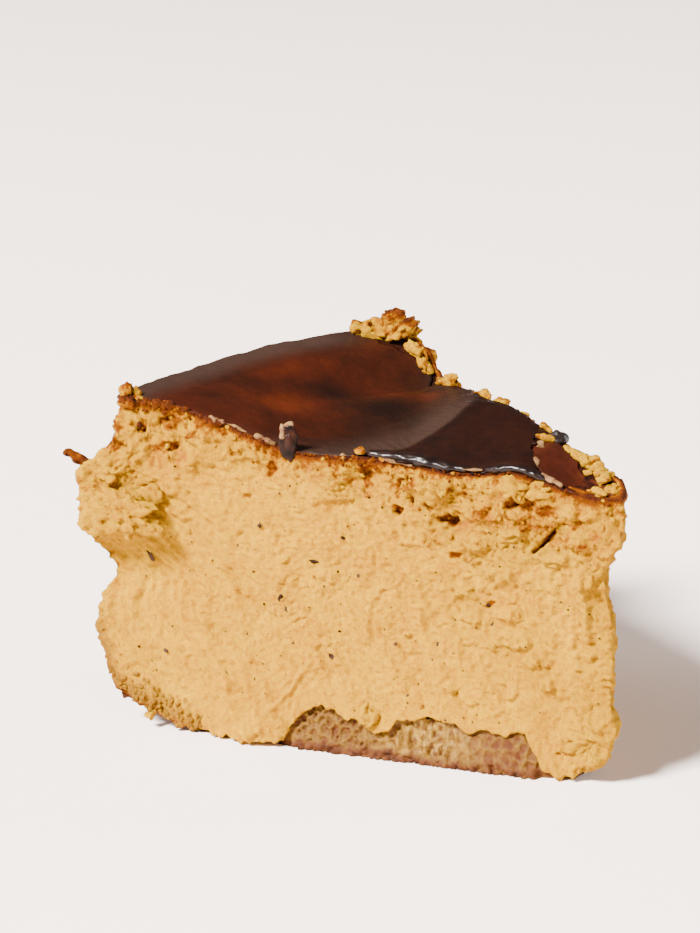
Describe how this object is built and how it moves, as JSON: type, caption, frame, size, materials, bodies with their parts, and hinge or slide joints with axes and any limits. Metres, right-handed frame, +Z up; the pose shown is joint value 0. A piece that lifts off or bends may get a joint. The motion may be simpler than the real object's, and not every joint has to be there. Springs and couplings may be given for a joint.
{
  "type": "burnt cheesecake slice",
  "caption": "Wedge of tall baked cheesecake with a glossy burnt top, torn crumbly cut faces with vanilla specks, and a thin sponge base.",
  "frame": {"origin": "middle of the bounding box seen from above, at the height of the surface it stands on", "axes": "+X from the middle of the rim to the tip, +Z up, and +Y to the torn cut at the back"},
  "size_m": [0.1016, 0.0804, 0.0675],
  "materials": {
    "cream": "moist baked cream, with a glossy mahogany burnt top and a browned side",
    "base": "damp sponge with a browned, crumbly underside"
  },
  "bodies": {
    "root": {"cream": "cream", "base": "base"}
  },
  "joints": []
}
